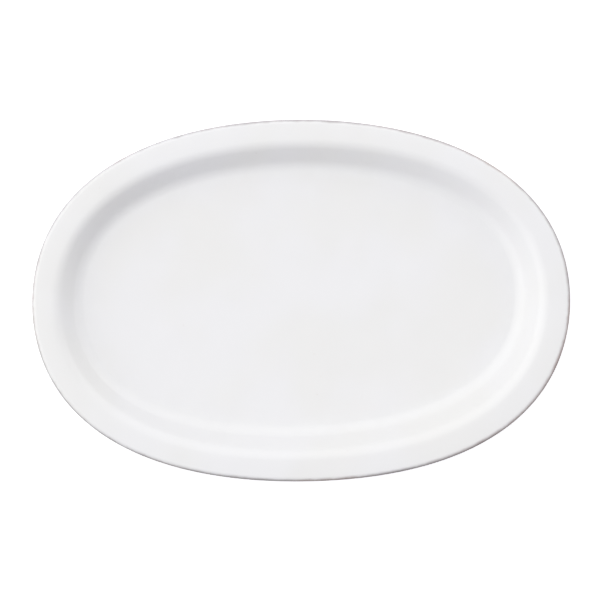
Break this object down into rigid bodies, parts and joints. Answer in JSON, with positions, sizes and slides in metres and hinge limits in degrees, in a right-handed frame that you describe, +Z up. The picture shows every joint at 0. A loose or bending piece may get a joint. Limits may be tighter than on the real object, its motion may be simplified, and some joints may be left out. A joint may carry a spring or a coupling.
{
  "type": "serving platter",
  "caption": "Oval serving platter with a rolled rim, a shallow flat well and a bare foot ring, in white-glazed ware",
  "frame": {"origin": "on the table, under the centre of the oval", "axes": "+X along the platter, +Y across it, +Z up out of the well"},
  "size_m": [0.406, 0.273, 0.0245],
  "materials": {
    "clay": "fired clay, hidden under the glaze",
    "bare_clay": "unglazed, fine and matt, wiped smooth",
    "face_glaze": "glossy white, very slightly mottled",
    "lip_glaze": "glossy, thin enough for the clay to show through",
    "back_glaze": "glossy white, a little less even than the face",
    "base_glaze": "glossy white"
  },
  "bodies": {
    "root": {"clay_body": "clay", "foot_ring": "bare_clay", "face_glaze": "face_glaze", "lip_glaze": "lip_glaze", "back_glaze": "back_glaze", "base_glaze": "base_glaze"}
  },
  "joints": []
}
